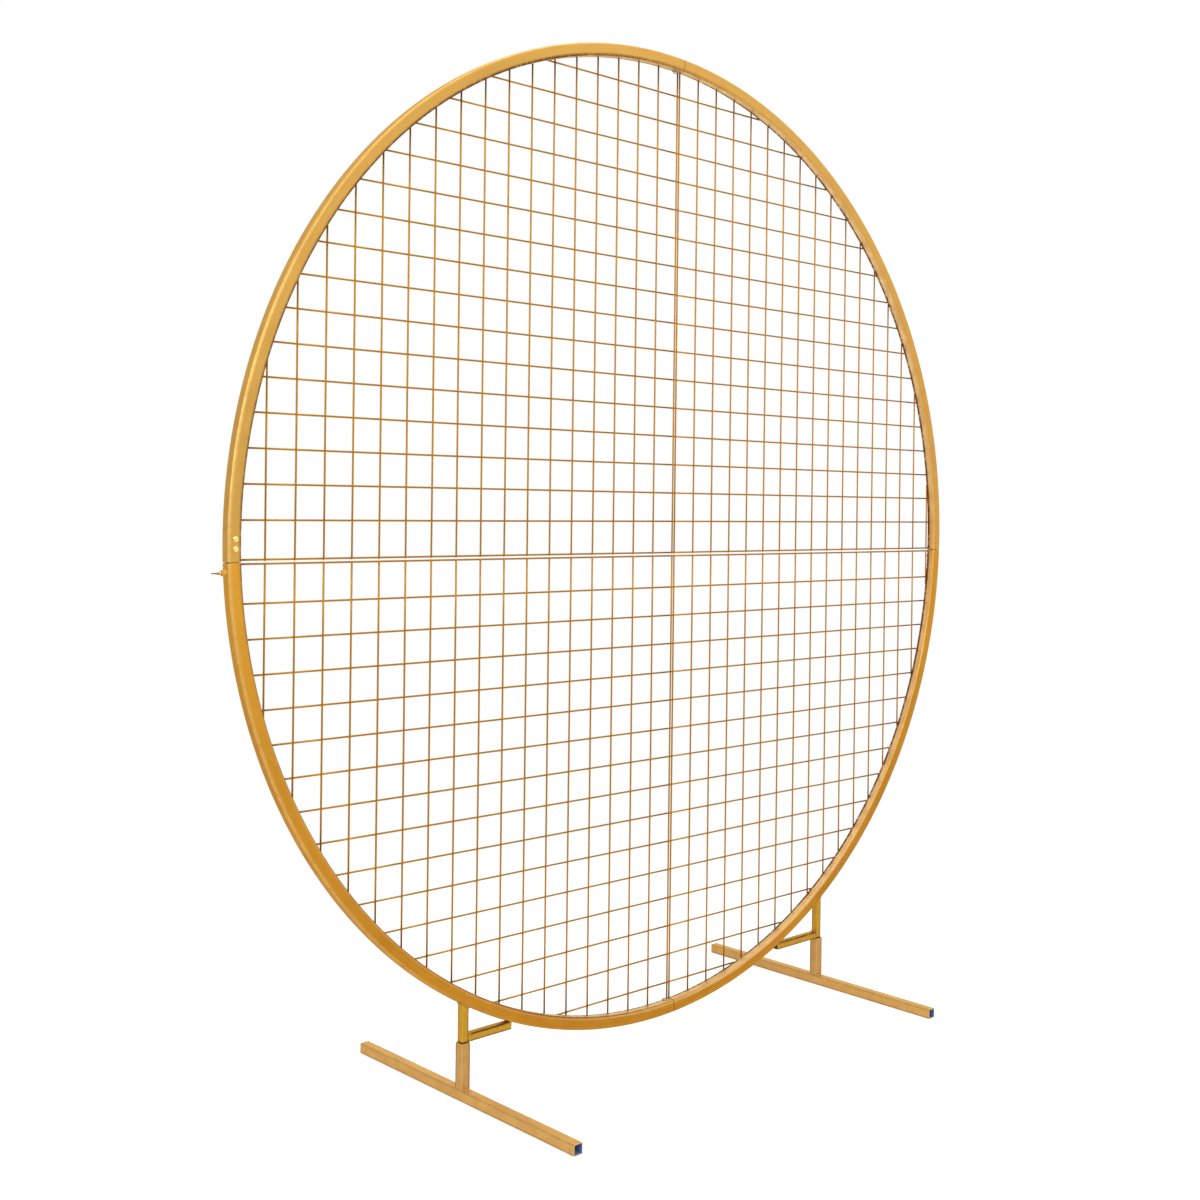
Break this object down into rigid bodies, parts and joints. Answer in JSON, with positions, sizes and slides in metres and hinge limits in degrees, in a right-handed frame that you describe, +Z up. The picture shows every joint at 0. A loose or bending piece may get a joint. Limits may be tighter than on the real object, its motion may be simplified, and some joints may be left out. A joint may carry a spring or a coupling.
{
  "type": "round mesh backdrop stand",
  "caption": "Upright round rim of square tube in plug-together quarters, each filled with a welded wire grid, on legs that drop into T feet with long base bars.",
  "frame": {"origin": "on the floor, midway in the overall width and depth, under the rim's middle plane", "axes": "+Z up, +X to the viewer's right as seen from the front, front face towards -Y"},
  "size_m": [2.0205, 0.64, 2.0408],
  "materials": {
    "rim_paint": "satin gold powder coat",
    "wire_paint": "satin copper gold powder coat",
    "sleeve_steel": "zinc plated, satin",
    "screw_head": "brass coloured plating",
    "nut_paint": "satin gold powder coat over a weld",
    "clamp_steel": "dark bronze plating",
    "leg_paint": "satin gold powder coat",
    "foot_paint": "satin gold powder coat"
  },
  "bodies": {
    "upper_left": {"rim_upper_left": "rim_paint", "grid_upper_left": "wire_paint", "sleeve_left": "sleeve_steel", "fixing_screw_left_1": "screw_head", "fixing_screw_left_2": "screw_head", "clamp_nut_top": "nut_paint"},
    "upper_right": {"rim_upper_right": "rim_paint", "grid_upper_right": "wire_paint", "sleeve_right": "sleeve_steel", "fixing_screw_right_1": "screw_head", "fixing_screw_right_2": "screw_head", "sleeve_top": "sleeve_steel", "fixing_screw_top_1": "screw_head", "fixing_screw_top_2": "screw_head"},
    "lower_left": {"rim_lower_left": "rim_paint", "grid_lower_left": "wire_paint", "clamp_nut_left": "nut_paint", "clamp_nut_bottom": "nut_paint", "leg_left": "leg_paint", "arm_left": "leg_paint"},
    "lower_right": {"rim_lower_right": "rim_paint", "grid_lower_right": "wire_paint", "clamp_nut_right": "nut_paint", "sleeve_bottom": "sleeve_steel", "fixing_screw_bottom_1": "screw_head", "fixing_screw_bottom_2": "screw_head", "leg_right": "leg_paint", "arm_right": "leg_paint"},
    "clamp_left": {"clamp_screw_left": "clamp_steel"},
    "clamp_right": {"clamp_screw_right": "clamp_steel"},
    "clamp_top": {"clamp_screw_top": "clamp_steel"},
    "clamp_bottom": {"clamp_screw_bottom": "clamp_steel"},
    "foot_left": {"socket_left": "foot_paint", "base_bar_left": "foot_paint"},
    "foot_right": {"socket_right": "foot_paint", "base_bar_right": "foot_paint"}
  },
  "joints": [
    {"name": "lower_right_slide", "type": "slide", "parent": "lower_left", "child": "lower_right", "axis": [1, 0, 0], "range_m": [0, 0.03]},
    {"name": "upper_left_lift", "type": "slide", "parent": "lower_left", "child": "upper_left", "axis": [0, 0, 1], "range_m": [0, 0.03]},
    {"name": "upper_right_lift", "type": "slide", "parent": "lower_right", "child": "upper_right", "axis": [0, 0, 1], "range_m": [0, 0.03]},
    {"name": "foot_left_slide", "type": "slide", "parent": "lower_left", "child": "foot_left", "axis": [0, 0, -1], "range_m": [0, 0.08]},
    {"name": "foot_right_slide", "type": "slide", "parent": "lower_right", "child": "foot_right", "axis": [0, 0, -1], "range_m": [0, 0.08]},
    {"name": "clamp_left_turn", "type": "hinge", "parent": "lower_left", "child": "clamp_left", "pos_m": [-0.98827, 0, 0.98632], "axis": [-0.9985, 0, -0.0547], "range_deg": [0, 720]},
    {"name": "clamp_right_turn", "type": "hinge", "parent": "lower_right", "child": "clamp_right", "pos_m": [0.99491, 0.011, 0.98707], "axis": [0, 1, 0], "range_deg": [0, 720]},
    {"name": "clamp_top_turn", "type": "hinge", "parent": "upper_left", "child": "clamp_top", "pos_m": [0.04381, 0, 2.01542], "axis": [-0.0344, 0, -0.9994], "range_deg": [0, 720]},
    {"name": "clamp_bottom_turn", "type": "hinge", "parent": "lower_left", "child": "clamp_bottom", "pos_m": [0.04381, 0, 0.06658], "axis": [-0.0344, 0, 0.9994], "range_deg": [0, 720]}
  ],
  "couplings": [
    {"joint": "upper_right_lift", "follows": "upper_left_lift", "ratio": 1}
  ]
}
